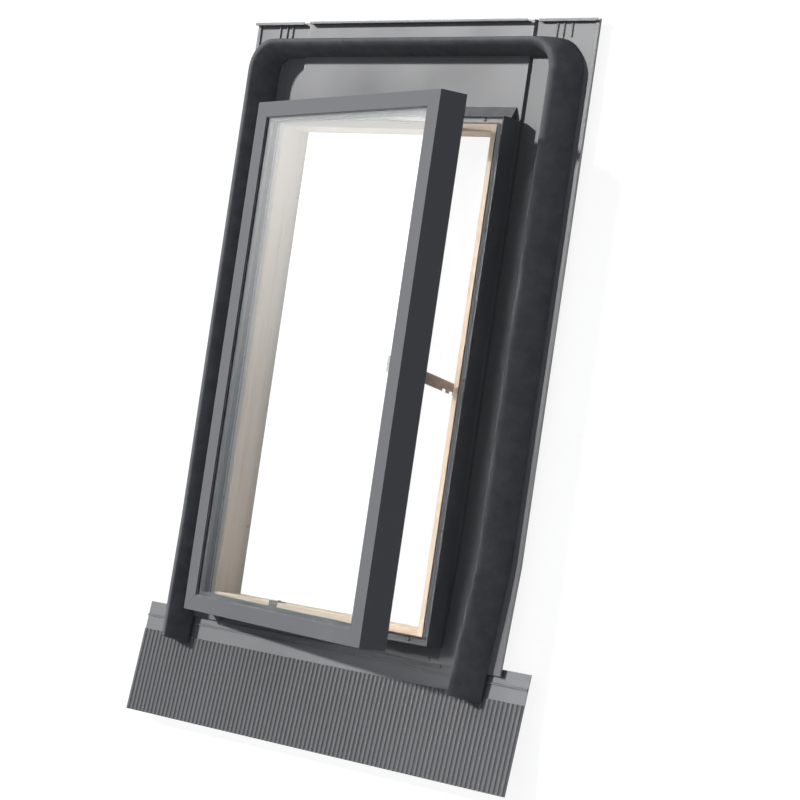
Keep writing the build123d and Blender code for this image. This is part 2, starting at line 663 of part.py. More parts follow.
def pleated_apron():
    """The apron: a flat band with a pressed rib, and a skirt of narrow pleats."""
    half = APRON_EDGE_X
    band_z = APRON_HEIGHT
    under_z = band_z - APRON_SHEET
    band = along_y([(-half, band_z), (half, band_z), (half, under_z), (-half, under_z)],
                   APRON_TOP_Y, PLEATS_Y, APRON_BAND * APRON_SLOPE)
    start_z = apron_top(PLEATS_Y)
    line = pleat_line(start_z)
    under = [(x, z - APRON_SHEET) for x, z in reversed(line)]
    pleats = along_y(line + under, PLEATS_Y, APRON_END_Y, PLEATS_LENGTH * APRON_SLOPE)
    rib_y = APRON_TOP_Y - APRON_RIB_OFFSET
    rib_z = apron_top(rib_y)
    crest = rib_z + APRON_RIB_HEIGHT
    points = [(rib_y, rib_z - 0.4), (rib_y - 1, crest), (rib_y - APRON_RIB_WIDTH + 1, crest),
              (rib_y - APRON_RIB_WIDTH, rib_z - 0.4)]
    body = joined([band, pleats, along_x(points, -half, half)])
    for place in sill_screw_places():
        body = body - place * screw_hole()
    return body


def sash_ring():
    """The sash profiles as one ring: face, skirt, chamber web, glazing leg and lip."""
    outer = (SASH_X, SASH_Y)
    face_in = (FACE_X, FACE_Y)
    skirt_in = (SASH_X - SKIRT_WALL, SASH_Y - SKIRT_WALL)
    leg_in = (LEG_X, LEG_Y)
    leg_out = (LEG_OUT, LEG_Y + WEB_WALL)
    lip_in = (HALF_WIDTH + LIP_REACH, HALF_LENGTH + LIP_REACH)
    body = ring(*outer, *face_in, FACE_BOTTOM, SASH_FRONT)
    body = body + ring(*outer, *skirt_in, SASH_FRONT - SASH_DEPTH, SASH_FRONT)
    body = body + ring(*outer, *leg_in, CHAMBER_BOTTOM - WEB_WALL, CHAMBER_BOTTOM)
    body = body + ring(*leg_out, *leg_in, LIP_BOTTOM, FACE_BOTTOM)
    body = body + ring(*leg_out, *lip_in, LIP_BOTTOM, LIP_TOP)
    hinge_side = block(-SASH_X - 1, -(SASH_X - SKIRT_WALL - 0.01), -skirt_in[1], skirt_in[1],
                       SASH_FRONT - SASH_DEPTH - 1, SASH_FRONT - HINGE_SKIRT_DEPTH)
    return body - hinge_side - stay_notch()


def stay_notch():
    """The gap in the right lip where the stay bracket passes."""
    half = STAY_KNUCKLE_LENGTH / 2 + 1.5
    return block(HALF_WIDTH, LEG_OUT + 1, STAY_Y - half, STAY_Y + half, LIP_BOTTOM - 1, LIP_TOP)


def sash_profiles():
    """Two stiles and two rails, mitred where the corners meet."""
    whole = sash_ring()
    outer = (SASH_X, SASH_Y)
    inner = (FACE_X, FACE_Y)
    names = {"left": "sash_stile_left", "right": "sash_stile_right", "top": "sash_rail_top",
             "bottom": "sash_rail_bottom"}
    return {name: opened(whole & mitre_region(side, outer, inner)) for side, name in names.items()}


def opened(shape):
    """A sash piece turned about the hinge axis from its closed place to the open rest pose."""
    return shape.rotate(Axis((HINGE_X, 0, HINGE_Z), (0, -1, 0)), OPEN_ANGLE)


def opened_point(x, z):
    """Where a point of the closed sash lies in the open rest pose."""
    angle = radians(OPEN_ANGLE)
    dx = x - HINGE_X
    dz = z - HINGE_Z
    return HINGE_X + dx * cos(angle) - dz * sin(angle), HINGE_Z + dx * sin(angle) + dz * cos(angle)


def corner_keys():
    """Four L-shaped keys pressed into the mitred corners of the sash chamber."""
    gap = CORNER_KEY_GAP
    leg_x = LEG_OUT + gap
    leg_y = LEG_Y + WEB_WALL + gap
    skirt_x = SASH_X - SKIRT_WALL - gap
    skirt_y = SASH_Y - SKIRT_WALL - gap
    z0 = CHAMBER_BOTTOM + gap
    z1 = FACE_BOTTOM - gap
    upright = block(leg_x, skirt_x, leg_y - CORNER_KEY_LEG, skirt_y, z0, z1)
    across = block(leg_x - CORNER_KEY_LEG, skirt_x, leg_y, skirt_y, z0, z1)
    key = upright + across
    right = [key, mirror(key, about=Plane.XZ)]
    return opened(group(right + [mirrored(shape) for shape in right]))


def pane_size():
    """Half sizes of the glass, just inside the glazing legs."""
    x = LEG_X - PANE_EDGE_GAP
    y = LEG_Y - PANE_EDGE_GAP
    return x, y


def glass_unit():
    """Two panes and the spacer between them."""
    x, y = pane_size()
    outer = block(-x, x, -y, y, OUTER_PANE_Z, GLASS_TOP)
    inner = block(-x, x, -y, y, INNER_PANE_Z, CAVITY_Z)
    sx = x - SPACER_INSET
    sy = y - SPACER_INSET
    spacer = ring(sx, sy, sx - SPACER_WIDTH, sy - SPACER_WIDTH, CAVITY_Z, OUTER_PANE_Z)
    return {"outer_pane": opened(outer), "inner_pane": opened(inner), "glass_spacer": opened(spacer)}


def glazing_seal():
    """The dark seal between the face and the outer pane, which shows as a thin line."""
    x, y = pane_size()
    body = ring(x, y, FACE_X - GLAZING_SEAL_SHOW, FACE_Y - GLAZING_SEAL_SHOW, GLASS_TOP, FACE_BOTTOM)
    return opened(body)


def edge_seal():
    """The sealant that fills the edge of the glass unit outside its spacer."""
    x, y = pane_size()
    body = ring(x, y, x - SPACER_INSET, y - SPACER_INSET, CAVITY_Z, OUTER_PANE_Z)
    return opened(body)


def knuckle(radius, y0, y1, x, z):
    """A round hinge knuckle along Y."""
    return rod(radius, (x, y0, z), (0, 1, 0), y1 - y0)


def frame_leaf(y):
    """The hinge leaf on the frame: middle knuckle, arm and screwed plate."""
    half = HINGE_MIDDLE / 2 - HINGE_SIDE_GAP
    plate_x = -COVER_X
    arm_z = HINGE_Z + HINGE_ARM_RISE
    barrel = knuckle(KNUCKLE_RADIUS, y - half, y + half, HINGE_X, HINGE_Z)
    arm = block(HINGE_X + 1, plate_x, y - half, y + half, arm_z - HINGE_ARM, arm_z)
    plate = block(plate_x - HINGE_LEAF, plate_x, y - HINGE_LENGTH / 2, y + HINGE_LENGTH / 2,
                  HINGE_Z - FRAME_LEAF_DROP, arm_z)
    body = joined([barrel, arm, plate])
    body = body - knuckle(HINGE_PIN_RADIUS, y - HINGE_LENGTH, y + HINGE_LENGTH, HINGE_X, HINGE_Z)
    for place in hinge_screw_places():
        body = body - place * screw_hole(SCREW_CLEARANCE)
    return body


def sash_leaf(y):
    """The hinge leaf on the sash: two knuckles, a neck on each and a plate under the chamber web."""
    web = CHAMBER_BOTTOM - WEB_WALL
    pieces = [block(HINGE_X, HINGE_X + SASH_LEAF_WIDTH, y - HINGE_LENGTH / 2, y + HINGE_LENGTH / 2,
                    web - HINGE_LEAF, web)]
    for side in (-1, 1):
        y0 = y + side * (HINGE_MIDDLE / 2 + HINGE_SIDE_GAP)
        y1 = y + side * HINGE_LENGTH / 2
        low, high = sorted((y0, y1))
        pieces.append(block(HINGE_X, HINGE_X + HINGE_NECK, low, high, HINGE_Z + HINGE_LEAF,
                            web - HINGE_LEAF / 2))
        pieces.append(knuckle(KNUCKLE_RADIUS, low, high, HINGE_X, HINGE_Z))
    bore = knuckle(HINGE_PIN_RADIUS + RUNNING_GAP, y - HINGE_LENGTH, y + HINGE_LENGTH, HINGE_X, HINGE_Z)
    return opened(joined(pieces) - bore)


def hinge_pin(y):
    """The pin through one hinge, held in the frame leaf's knuckle."""
    half = HINGE_LENGTH / 2
    return knuckle(HINGE_PIN_RADIUS, y - half, y + half, HINGE_X, HINGE_Z)


def hinges():
    """Both hinges, each with two leaves and a pin."""
    rows = hinge_rows()
    return {
        "hinge_frame_leaves": group([frame_leaf(y) for y in rows]),
        "hinge_sash_leaves": group([sash_leaf(y) for y in rows]),
        "hinge_pins": group([hinge_pin(y) for y in rows]),
    }


def stay_closed_pivot():
    """The stay's pivot in the closed sash, inside the opening and below the glass."""
    return HALF_WIDTH - STAY_INSET, FRAME_DEPTH - STAY_DROP


def stay_bracket():
    """The plate under the sash lip that carries the stay's outer knuckles."""
    x, z = stay_closed_pivot()
    half = STAY_KNUCKLE_LENGTH / 2
    top = LIP_TOP - FOLD_GAP
    x1 = LEG_OUT + FOLD_GAP
    x2 = x1 + STAY_PLATE
    neck = STAY_PIN_RADIUS
    plate = block(x - neck, x2, STAY_Y - half, STAY_Y + half, top - STAY_PLATE, top)
    tab = block(x1, x2, STAY_Y - half, STAY_Y + half, top - STAY_PLATE, CHAMBER_BOTTOM - WEB_WALL)
    pieces = [plate, tab]
    for side in (-1, 1):
        y0 = STAY_Y + side * (STAY_LINK_LENGTH / 2 + STAY_SIDE_GAP)
        y1 = STAY_Y + side * half
        low, high = sorted((y0, y1))
        pieces.append(knuckle(STAY_KNUCKLE_RADIUS, low, high, x, z))
        pieces.append(block(x - neck, x + neck, low, high, z, top - STAY_PLATE / 2))
    bore = knuckle(STAY_PIN_RADIUS, STAY_Y - half - 1, STAY_Y + half + 1, x, z)
    return opened(joined(pieces) - bore)


def stay_pin():
    """The pin through the stay's knuckles."""
    x, z = opened_point(*stay_closed_pivot())
    half = STAY_KNUCKLE_LENGTH / 2
    return knuckle(STAY_PIN_RADIUS, STAY_Y - half, STAY_Y + half, x, z)


def stay_link():
    """The tilting link: a knuckle with a flat tongue that hangs straight down."""
    x, z = opened_point(*stay_closed_pivot())
    half = STAY_LINK_LENGTH / 2
    wall = STAY_BAR_WALL / 2
    barrel = knuckle(STAY_KNUCKLE_RADIUS, STAY_Y - half, STAY_Y + half, x, z)
    neck = block(x - wall, x + wall, STAY_Y - half, STAY_Y + half, z - STAY_RIVET_DROP, z - STAY_PIN_RADIUS)
    plane = Plane(origin=(x - wall, STAY_Y, z - STAY_RIVET_DROP), z_dir=(1, 0, 0))
    eye = extrude(plane * Circle(STAY_LINK_WIDTH / 2), 2 * wall)
    body = joined([barrel, neck, eye])
    body = body - knuckle(STAY_PIN_RADIUS + RUNNING_GAP, STAY_Y - 10, STAY_Y + 10, x, z)
    return body - rod(STAY_RIVET_RADIUS, (x - 5, STAY_Y, z - STAY_RIVET_DROP), (1, 0, 0), 10)


def stay_rivet_centre():
    """The middle of the rivet that joins the bar to the link."""
    x, z = opened_point(*stay_closed_pivot())
    return x, STAY_Y, z - STAY_RIVET_DROP


def stay_rivet():
    """The rivet, with a low head on each side of the link and the bar."""
    x, y, z = stay_rivet_centre()
    left = x - STAY_BAR_WALL * 1.5 - FOLD_GAP * 3
    right = x + STAY_BAR_WALL / 2
    head = STAY_RIVET_HEAD
    shank = rod(STAY_RIVET_RADIUS, (left - head, y, z), (1, 0, 0), right - left + 2 * head)
    near = rod(STAY_RIVET_RADIUS * 1.7, (left - head, y, z), (1, 0, 0), head - FOLD_GAP)
    far = rod(STAY_RIVET_RADIUS * 1.7, (right, y, z), (1, 0, 0), head)
    return joined([shank, near, far])


def stay_bar():
    """The flat notched bar, leaning down the slope from its rivet."""
    x, y, z = stay_rivet_centre()
    half = STAY_BAR_WIDTH / 2
    face = SlotCenterToCenter(STAY_BAR_LENGTH - STAY_BAR_WIDTH, STAY_BAR_WIDTH)
    bar = extrude(Pos((STAY_BAR_LENGTH - STAY_BAR_WIDTH) / 2, 0, 0) * face, STAY_BAR_WALL)
    for number in range(NOTCH_COUNT):
        place = STAY_BAR_LENGTH - STAY_BAR_WIDTH * 1.6 - number * NOTCH_PITCH
        low = place - NOTCH_HEIGHT
        bar = bar - block(low, place, -half - 1, NOTCH_DEPTH - half, -1, STAY_BAR_WALL + 1)
    bar = bar - rod(STAY_RIVET_RADIUS + RUNNING_GAP, (0, 0, -1), (0, 0, 1), STAY_BAR_WALL + 2)
    lean = radians(STAY_LEAN)
    left = x - STAY_BAR_WALL * 1.5 - FOLD_GAP * 2
    plane = Plane(origin=(left, y, z), x_dir=(0, -sin(lean), -cos(lean)), z_dir=(1, 0, 0))
    return plane * bar


def peg_centre():
    """Where the peg stands, just beside the edge of the bar at rest and near the bar's tip."""
    _, y, z = stay_rivet_centre()
    lean = radians(STAY_LEAN)
    along = STAY_BAR_LENGTH - STAY_BAR_WIDTH / 2 - PEG_FROM_TIP
    beside = STAY_BAR_WIDTH / 2 + PEG_CLEARANCE + PEG_RADIUS
    peg_z = z - along * cos(lean)
    return y - along * sin(lean) - beside / cos(lean), peg_z


def stay_peg():
    """The peg that the stay's notches drop on."""
    x, _, _ = stay_rivet_centre()
    inner = x - STAY_BAR_WALL * 2.2
    start = HALF_WIDTH - PEG_PLATE_WALL
    return rod(PEG_RADIUS, (start, *peg_centre()), (-1, 0, 0), start - inner)


def peg_plate():
    """The plate that carries the peg on the inside of the right board."""
    half = PEG_PLATE_WIDTH / 2
    y, z = peg_centre()
    z0 = z - PEG_PLATE_HEIGHT / 2
    body = block(HALF_WIDTH - PEG_PLATE_WALL, HALF_WIDTH, y - half, y + half, z0, z0 + PEG_PLATE_HEIGHT)
    body = fillet(body.edges().filter_by(Axis.X), 4)
    for place in peg_screw_places():
        body = body - place * screw_hole(SCREW_CLEARANCE)
    return body


def keeper():
    """The small angle plate over the bottom board's land."""
    half = KEEPER_WIDTH / 2
    inner = -(HALF_LENGTH - KEEPER_WALL)
    outer = -(HALF_LENGTH + LAND_WIDTH)
    low = FRAME_DEPTH - KEEPER_TAB
    top = FRAME_DEPTH + KEEPER_WALL
    back = inner - KEEPER_WALL
    points = [(inner, low), (inner, top), (outer, top), (outer, FRAME_DEPTH), (back, FRAME_DEPTH),
              (back, low)]
    body = along_x(points, KEEPER_X - half, KEEPER_X + half)
    for place in keeper_screw_places():
        body = body - place * screw_hole(SCREW_CLEARANCE)
    return body


def screws(places):
    """One screw at each place."""
    return group([place * screw() for place in places])


def build():
    """Every node by name."""
    nodes = {}
    nodes.update(frame_boards())
    nodes.update(frame_covers())
    nodes["frame_seal"] = frame_seal()
    nodes["head_flashing"] = head_flashing()
    nodes["side_flashing_right"] = side_flashing()
    nodes["side_flashing_left"] = mirrored(side_flashing())
    nodes["sill_flashing"] = sill_flashing()
    nodes["gutter_strip"] = gutter_strip()
    nodes["foam_collar"] = foam_collar()
    nodes["pleated_apron"] = pleated_apron()
    nodes.update(sash_profiles())
    nodes["corner_keys"] = corner_keys()
    nodes.update(glass_unit())
    nodes["glazing_seal"] = glazing_seal()
    nodes["edge_seal"] = edge_seal()
    nodes.update(hinges())
    nodes["stay_bracket"] = stay_bracket()
    nodes["stay_pin"] = stay_pin()
    nodes["stay_link"] = stay_link()
    nodes["stay_rivet"] = stay_rivet()
    nodes["stay_bar"] = stay_bar()
    nodes["stay_peg"] = stay_peg()
    nodes["peg_plate"] = peg_plate()
    nodes["keeper"] = keeper()
    nodes["cover_screws"] = screws(cover_screw_places())
    nodes["hinge_screws"] = screws(hinge_screw_places())
    nodes["peg_screws"] = screws(peg_screw_places())
    nodes["keeper_screw"] = screws(keeper_screw_places())
    nodes["sill_screws"] = screws(sill_screw_places())
    return nodes


os.makedirs("parts", exist_ok=True)
for name, shape in build().items():
    export_step(Pos(0, -BOX_CENTRE_Y, 0) * shape, f"parts/{name}.step")
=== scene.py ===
import logging
import math
from dataclasses import dataclass, field
from enum import Enum
from typing import Callable, Dict, Iterable, List, Optional, Sequence, Tuple

import bpy
from mathutils import Matrix, Vector

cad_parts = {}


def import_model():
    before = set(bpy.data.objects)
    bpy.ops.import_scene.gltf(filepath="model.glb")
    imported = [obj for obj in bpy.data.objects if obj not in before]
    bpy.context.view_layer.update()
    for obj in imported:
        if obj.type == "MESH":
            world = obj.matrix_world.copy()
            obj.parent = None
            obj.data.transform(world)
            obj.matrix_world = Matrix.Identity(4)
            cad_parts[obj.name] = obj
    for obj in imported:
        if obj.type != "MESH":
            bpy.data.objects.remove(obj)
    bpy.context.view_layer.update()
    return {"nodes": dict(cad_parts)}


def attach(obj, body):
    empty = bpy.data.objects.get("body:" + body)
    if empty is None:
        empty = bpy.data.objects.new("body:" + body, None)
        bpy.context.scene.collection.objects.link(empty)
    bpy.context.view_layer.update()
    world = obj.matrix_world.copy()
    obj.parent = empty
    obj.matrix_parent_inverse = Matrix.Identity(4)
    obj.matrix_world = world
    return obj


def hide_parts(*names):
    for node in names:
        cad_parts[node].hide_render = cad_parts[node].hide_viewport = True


LOG = logging.getLogger("skylight")
MM = 0.001
MERGE_MM = 0.002
FLAT_DEGREES = 0.6
SIDES = ("left", "right", "top", "bottom")
Colour = Tuple[float, float, float]
Triple = Tuple[float, float, float]
Stops = Sequence[Tuple[float, Colour]]


class Body(Enum):
    """The rigid bodies of the skylight."""

    FRAME = "frame"
    SASH = "sash"
    LINK = "link"
    BAR = "bar"


class Grain(Enum):
    """The direction in which a board's grain runs."""

    ACROSS = "x"
    UP_THE_SLOPE = "y"


@dataclass(frozen=True)
class PleatSizes:
    """The apron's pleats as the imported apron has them, in millimetres."""

    half_width: float = 425.0
    count: int = 91
    crest_share: float = 0.46
    rise: float = 3.2
    start_y: float = -427.0
    start_z: float = 17.8
    slope: float = 0.109

    @property
    def pitch(self) -> float:
        """The distance from one pleat to the next."""
        return 2 * self.half_width / self.count

    @property
    def lean(self) -> float:
        """How far a pleat's flank leans in on its way up."""
        return self.pitch * (1 - self.crest_share) / 2


# Modelling helpers


def deselect() -> None:
    """Leaves object mode and clears the selection."""
    if bpy.context.object is not None and bpy.context.object.mode != "OBJECT":
        bpy.ops.object.mode_set(mode="OBJECT")
    bpy.ops.object.select_all(action="DESELECT")


def make_active(piece: bpy.types.Object) -> None:
    """Selects one piece alone and makes it the active object.

    Args:
        piece: The object to work on.
    """
    deselect()
    piece.select_set(True)
    bpy.context.view_layer.objects.active = piece


def settle(piece: bpy.types.Object) -> bpy.types.Object:
    """Puts the piece's place, turn and scale into its mesh.

    Args:
        piece: The finished object.

    Returns:
        The same object, standing at the origin.
    """
    make_active(piece)
    bpy.ops.object.transform_apply(location=True, rotation=True, scale=True)
    return piece


def apply_modifiers(piece: bpy.types.Object) -> None:
    """Applies every modifier of a piece in order.

    Args:
        piece: The object whose modifiers are applied.
    """
    make_active(piece)
    for modifier in list(piece.modifiers):
        bpy.ops.object.modifier_apply(modifier=modifier.name)


def soften_edges(piece: bpy.types.Object, width: float, segments: int = 2, angle: float = 30.0) -> None:
    """Rounds the sharp edges of a piece by a small real bevel.

    Args:
        piece: The object to soften.
        width: The bevel's width in millimetres.
        segments: The number of steps across the bevel.
        angle: Edges sharper than this many degrees are rounded.
    """
    bevel = piece.modifiers.new("edges", "BEVEL")
    bevel.width = width * MM
    bevel.segments = segments
    bevel.limit_method = "ANGLE"
    bevel.angle_limit = math.radians(angle)
    bevel.use_clamp_overlap = True
    bevel.harden_normals = False
    apply_modifiers(piece)


def smooth(piece: bpy.types.Object, angle: float = 35.0) -> None:
    """Shades a piece smooth up to an angle, with its large faces kept flat.

    Args:
        piece: The object to shade.
        angle: The largest angle in degrees between faces that blend.
    """
    make_active(piece)
    bpy.ops.object.shade_smooth_by_angle(angle=math.radians(angle))
    weigh = piece.modifiers.new("flat_faces", "WEIGHTED_NORMAL")
    weigh.keep_sharp = True
    weigh.mode = "FACE_AREA"
    weigh.weight = 80
    apply_modifiers(piece)


def solid_copy(node: bpy.types.Object, name: str) -> bpy.types.Object:
    """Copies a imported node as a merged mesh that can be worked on.

    Args:
        node: The node's object.
        name: The copy's name.

    Returns:
        The copy, with shared corners and flat faces dissolved.
    """
    copy = node.copy()
    copy.data = node.data.copy()
    copy.name = name
    copy.parent = None
    for key in list(copy.keys()):
        del copy[key]
    bpy.context.collection.objects.link(copy)
    copy.data.materials.clear()
    make_active(copy)
    if copy.data.has_custom_normals:
        bpy.ops.mesh.customdata_custom_splitnormals_clear()
    bpy.ops.object.mode_set(mode="EDIT")
    bpy.ops.mesh.select_all(action="SELECT")
    bpy.ops.mesh.remove_doubles(threshold=MERGE_MM * MM)
    bpy.ops.mesh.dissolve_limited(angle_limit=math.radians(FLAT_DEGREES), use_dissolve_boundaries=False)
    bpy.ops.object.mode_set(mode="OBJECT")
    return copy


def pick_corners(piece: bpy.types.Object, wanted: Callable[[Vector], bool]) -> None:
    """Enters edit mode with only some corners of a piece selected.

    Args:
        piece: The object to work on.
        wanted: Says of a corner's place whether it is picked.
    """
    make_active(piece)
    bpy.ops.object.mode_set(mode="EDIT")
    bpy.ops.mesh.select_all(action="DESELECT")
    bpy.ops.object.mode_set(mode="OBJECT")
    for vertex in piece.data.vertices:
        vertex.select = wanted(vertex.co)
    bpy.ops.object.mode_set(mode="EDIT")


def add_block(name: str, low: Triple, high: Triple) -> bpy.types.Object:
    """Adds a box between two corners given in millimetres.

    Args:
        name: The piece's name.
        low: The lowest corner.
        high: The highest corner.

    Returns:
        The new object, standing at the origin.
    """
    deselect()
    centre = [(a + b) / 2 * MM for a, b in zip(low, high)]
    bpy.ops.mesh.primitive_cube_add(size=1.0, location=centre)
    piece = bpy.context.object
    piece.name = name
    piece.scale = [(b - a) * MM for a, b in zip(low, high)]
    return settle(piece)


def finish_piece(piece: bpy.types.Object, finish: bpy.types.Material, body: Body,
                 replaces: Sequence[str] = ()) -> bpy.types.Object:
    """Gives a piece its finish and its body.

    Args:
        piece: The finished object.
        finish: The material.
        body: The body it moves with.
        replaces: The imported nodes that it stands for.

    Returns:
        The same object.
    """
    piece.data.materials.clear()
    piece.data.materials.append(finish)
    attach(piece, body.value)
    if replaces:
        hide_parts(*replaces)
    LOG.info("%s: %d faces", piece.name, len(piece.data.polygons))
    return piece


# Finishes


class NodeBench:
    """A small helper that lays out one tree of nodes."""

    def __init__(self, tree: bpy.types.NodeTree, output: str) -> None:
        """Clears the tree and adds its output and its coordinates.

        Args:
            tree: The tree of a material or of the world.
            output: The output node's type name.
        """
        self.tree = tree
        self.tree.nodes.clear()
        self.output = self.tree.nodes.new(output)
        self.coords = self.add("ShaderNodeTexCoord")

    def add(self, kind: str, **inputs: object) -> bpy.types.Node:
        """Adds a node and sets or links its inputs by name.

        Args:
            kind: The node's type name.
            inputs: Values or sockets, with spaces in the names written as underscores.

        Returns:
            The new node.
        """
        node = self.tree.nodes.new(kind)
        for key, value in inputs.items():
            self.put(node, key.replace("_", " "), value)
        return node

    def put(self, node: bpy.types.Node, key: object, value: object) -> None:
        """Sets one input of a node, or links a socket to it.

        Args:
            node: The node.
            key: The input's name or index.
            value: A plain value, a colour or an output socket.
        """
        if isinstance(value, bpy.types.NodeSocket):
            self.tree.links.new(value, node.inputs[key])
        elif node.inputs[key].type == "RGBA":
            node.inputs[key].default_value = (*value, 1.0)
        else:
            node.inputs[key].default_value = value

    def show(self, shader: bpy.types.Node) -> None:
        """Joins a shader to the output.

        Args:
            shader: The last shader of the tree.
        """
        self.tree.links.new(shader.outputs[0], self.output.inputs["Surface"])

    def along(self, axis: int) -> bpy.types.NodeSocket:
        """Gives the place along one axis, in metres.

        Args:
            axis: 0, 1 or 2.

        Returns:
            The coordinate.
        """
        return self.add("ShaderNodeSeparateXYZ", Vector=self.coords.outputs["Object"]).outputs[axis]

    def inside(self, low: Triple, high: Triple) -> bpy.types.NodeSocket:
        """Gives 1 within a box and 0 outside it.

        Args:
            low: The lowest corner in millimetres.
            high: The highest corner in millimetres.

        Returns:
            The mask.
        """
        past = []
        for axis, (start, end) in enumerate(zip(low, high)):
            offset = self.math("SUBTRACT", self.along(axis), (start + end) / 2 * MM)
            past.append(self.math("SUBTRACT", self.math("ABSOLUTE", offset, 0.0), (end - start) / 2 * MM))
        furthest = self.math("MAXIMUM", self.math("MAXIMUM", past[0], past[1]), past[2])
        return self.math("LESS_THAN", furthest, 0.0)

    def stretched(self, scale: Triple = (1.0, 1.0, 1.0)) -> bpy.types.NodeSocket:
        """Object coordinates with their own scale along each axis.

        Args:
            scale: The scale along X, Y and Z.

        Returns:
            The mapped vector.
        """
        mapping = self.add("ShaderNodeMapping", Vector=self.coords.outputs["Object"], Scale=scale)
        return mapping.outputs["Vector"]

    def noise(self, vector: bpy.types.NodeSocket, scale: float, detail: float = 4.0,
              roughness: float = 0.5, distortion: float = 0.0) -> bpy.types.NodeSocket:
        """A noise value between 0 and 1.

        Args:
            vector: The coordinates.
            scale: Waves per metre.
            detail: The number of finer layers.
            roughness: The weight of the finer layers.
            distortion: How much the pattern is warped.

        Returns:
            The value socket.
        """
        node = self.add("ShaderNodeTexNoise", Vector=vector, Scale=scale, Detail=detail, Roughness=roughness,
                        Distortion=distortion)
        return node.outputs[0]

    def cells(self, scale: float, output: str) -> bpy.types.NodeSocket:
        """A pattern of small cells.

        Args:
            scale: Cells per metre.
            output: The pattern's output, such as Distance or Color.

        Returns:
            The chosen socket.
        """
        return self.add("ShaderNodeTexVoronoi", Vector=self.stretched(), Scale=scale).outputs[output]

    def ramp(self, value: bpy.types.NodeSocket, stops: Stops) -> bpy.types.NodeSocket:
        """Turns a value into a colour.

        Args:
            value: The value socket.
            stops: Places from 0 to 1 and their colours.

        Returns:
            The colour socket.
        """
        node = self.add("ShaderNodeValToRGB", Fac=value)
        elements = node.color_ramp.elements
        while len(elements) < len(stops):
            elements.new(0.5)
        for element, (place, colour) in zip(elements, stops):
            element.position = place
            element.color = (*colour, 1.0)
        return node.outputs["Color"]

    def span(self, value: bpy.types.NodeSocket, low: float, high: float, start: float = 0.3,
             end: float = 0.7) -> bpy.types.NodeSocket:
        """Maps a value onto a range.

        Args:
            value: The value socket.
            low: The result at start.
            high: The result at end.
            start: The value that gives low.
            end: The value that gives high.

        Returns:
            The mapped value.
        """
        node = self.tree.nodes.new("ShaderNodeMapRange")
        self.put(node, 0, value)
        for index, number in enumerate((start, end, low, high), start=1):
            node.inputs[index].default_value = number
        return node.outputs[0]

    def math(self, operation: str, first: object, second: object) -> bpy.types.NodeSocket:
        """Joins two values by arithmetic.

        Args:
            operation: The node's operation.
            first: The first value or socket.
            second: The second value or socket.

        Returns:
            The result.
        """
        node = self.tree.nodes.new("ShaderNodeMath")
        node.operation = operation
        self.put(node, 0, first)
        self.put(node, 1, second)
        return node.outputs[0]

    def blend(self, factor: object, first: object, second: object, mode: str = "MIX") -> bpy.types.NodeSocket:
        """Blends two colours.

        Args:
            factor: The share of the second colour.
            first: The first colour or socket.
            second: The second colour or socket.
            mode: The blend type.

        Returns:
            The blended colour.
        """
        node = self.tree.nodes.new("ShaderNodeMix")
        node.data_type = "RGBA"
        node.blend_type = mode
        for index, value in ((0, factor), (6, first), (7, second)):
            self.put(node, index, value)
        return node.outputs[2]

    def mix(self, factor: object, first: bpy.types.Node, second: bpy.types.Node) -> bpy.types.Node:
        """Mixes two shaders.

        Args:
            factor: The share of the second shader.
            first: The first shader.
            second: The second shader.

        Returns:
            The mixed shader.
        """
        node = self.tree.nodes.new("ShaderNodeMixShader")
        for index, value in enumerate((factor, first.outputs[0], second.outputs[0])):
            self.put(node, index, value)
        return node

    def seen(self) -> bpy.types.NodeSocket:
        """Gives 1 for rays that show what is round the object directly, in metal or through glass."""
        path = self.add("ShaderNodeLightPath")
        glossy = self.math("MAXIMUM", path.outputs["Is Camera Ray"], path.outputs["Is Glossy Ray"])
        total = self.math("MAXIMUM", glossy, path.outputs["Is Transmission Ray"])
        return self.math("MULTIPLY", total, self.span(path.outputs["Diffuse Depth"], 1.0, 0.0, 0.0, 1.0))

    def bump(self, height: bpy.types.NodeSocket, strength: float, distance: float,
             normal: Optional[bpy.types.NodeSocket] = None) -> bpy.types.NodeSocket:
        """Makes a bump normal from a height.

        Args:
            height: The height socket.
            strength: The share of the bump from 0 to 1.
            distance: The height in millimetres.
            normal: A normal from an earlier bump.

        Returns:
            The normal socket.
        """
        node = self.add("ShaderNodeBump", Strength=strength, Distance=distance * MM, Height=height)
        if normal is not None:
            self.put(node, "Normal", normal)
        return node.outputs["Normal"]


class Weave(NodeBench):
    """A small helper that lays out one material's nodes."""

    def __init__(self, name: str) -> None:
        """Starts an empty node material.

        Args:
            name: The material's name.
        """
        self.material = bpy.data.materials.new(name)
        self.material.use_nodes = True
        super().__init__(self.material.node_tree, "ShaderNodeOutputMaterial")

    def surface(self, colour: object, roughness: object, normal: Optional[bpy.types.NodeSocket] = None,
                **plain: float) -> bpy.types.Node:
        """Adds the shader and joins it to the output.

        Args:
            colour: The colour or socket.
            roughness: The roughness or socket.
            normal: The bump normal.
            plain: Further plain inputs of the shader.

        Returns:
            The shader node.
        """
        shader = self.add("ShaderNodeBsdfPrincipled", **plain)
        self.put(shader, "Base Color", colour)
        self.put(shader, "Roughness", roughness)
        if normal is not None:
            self.put(shader, "Normal", normal)
        self.show(shader)
        return shader


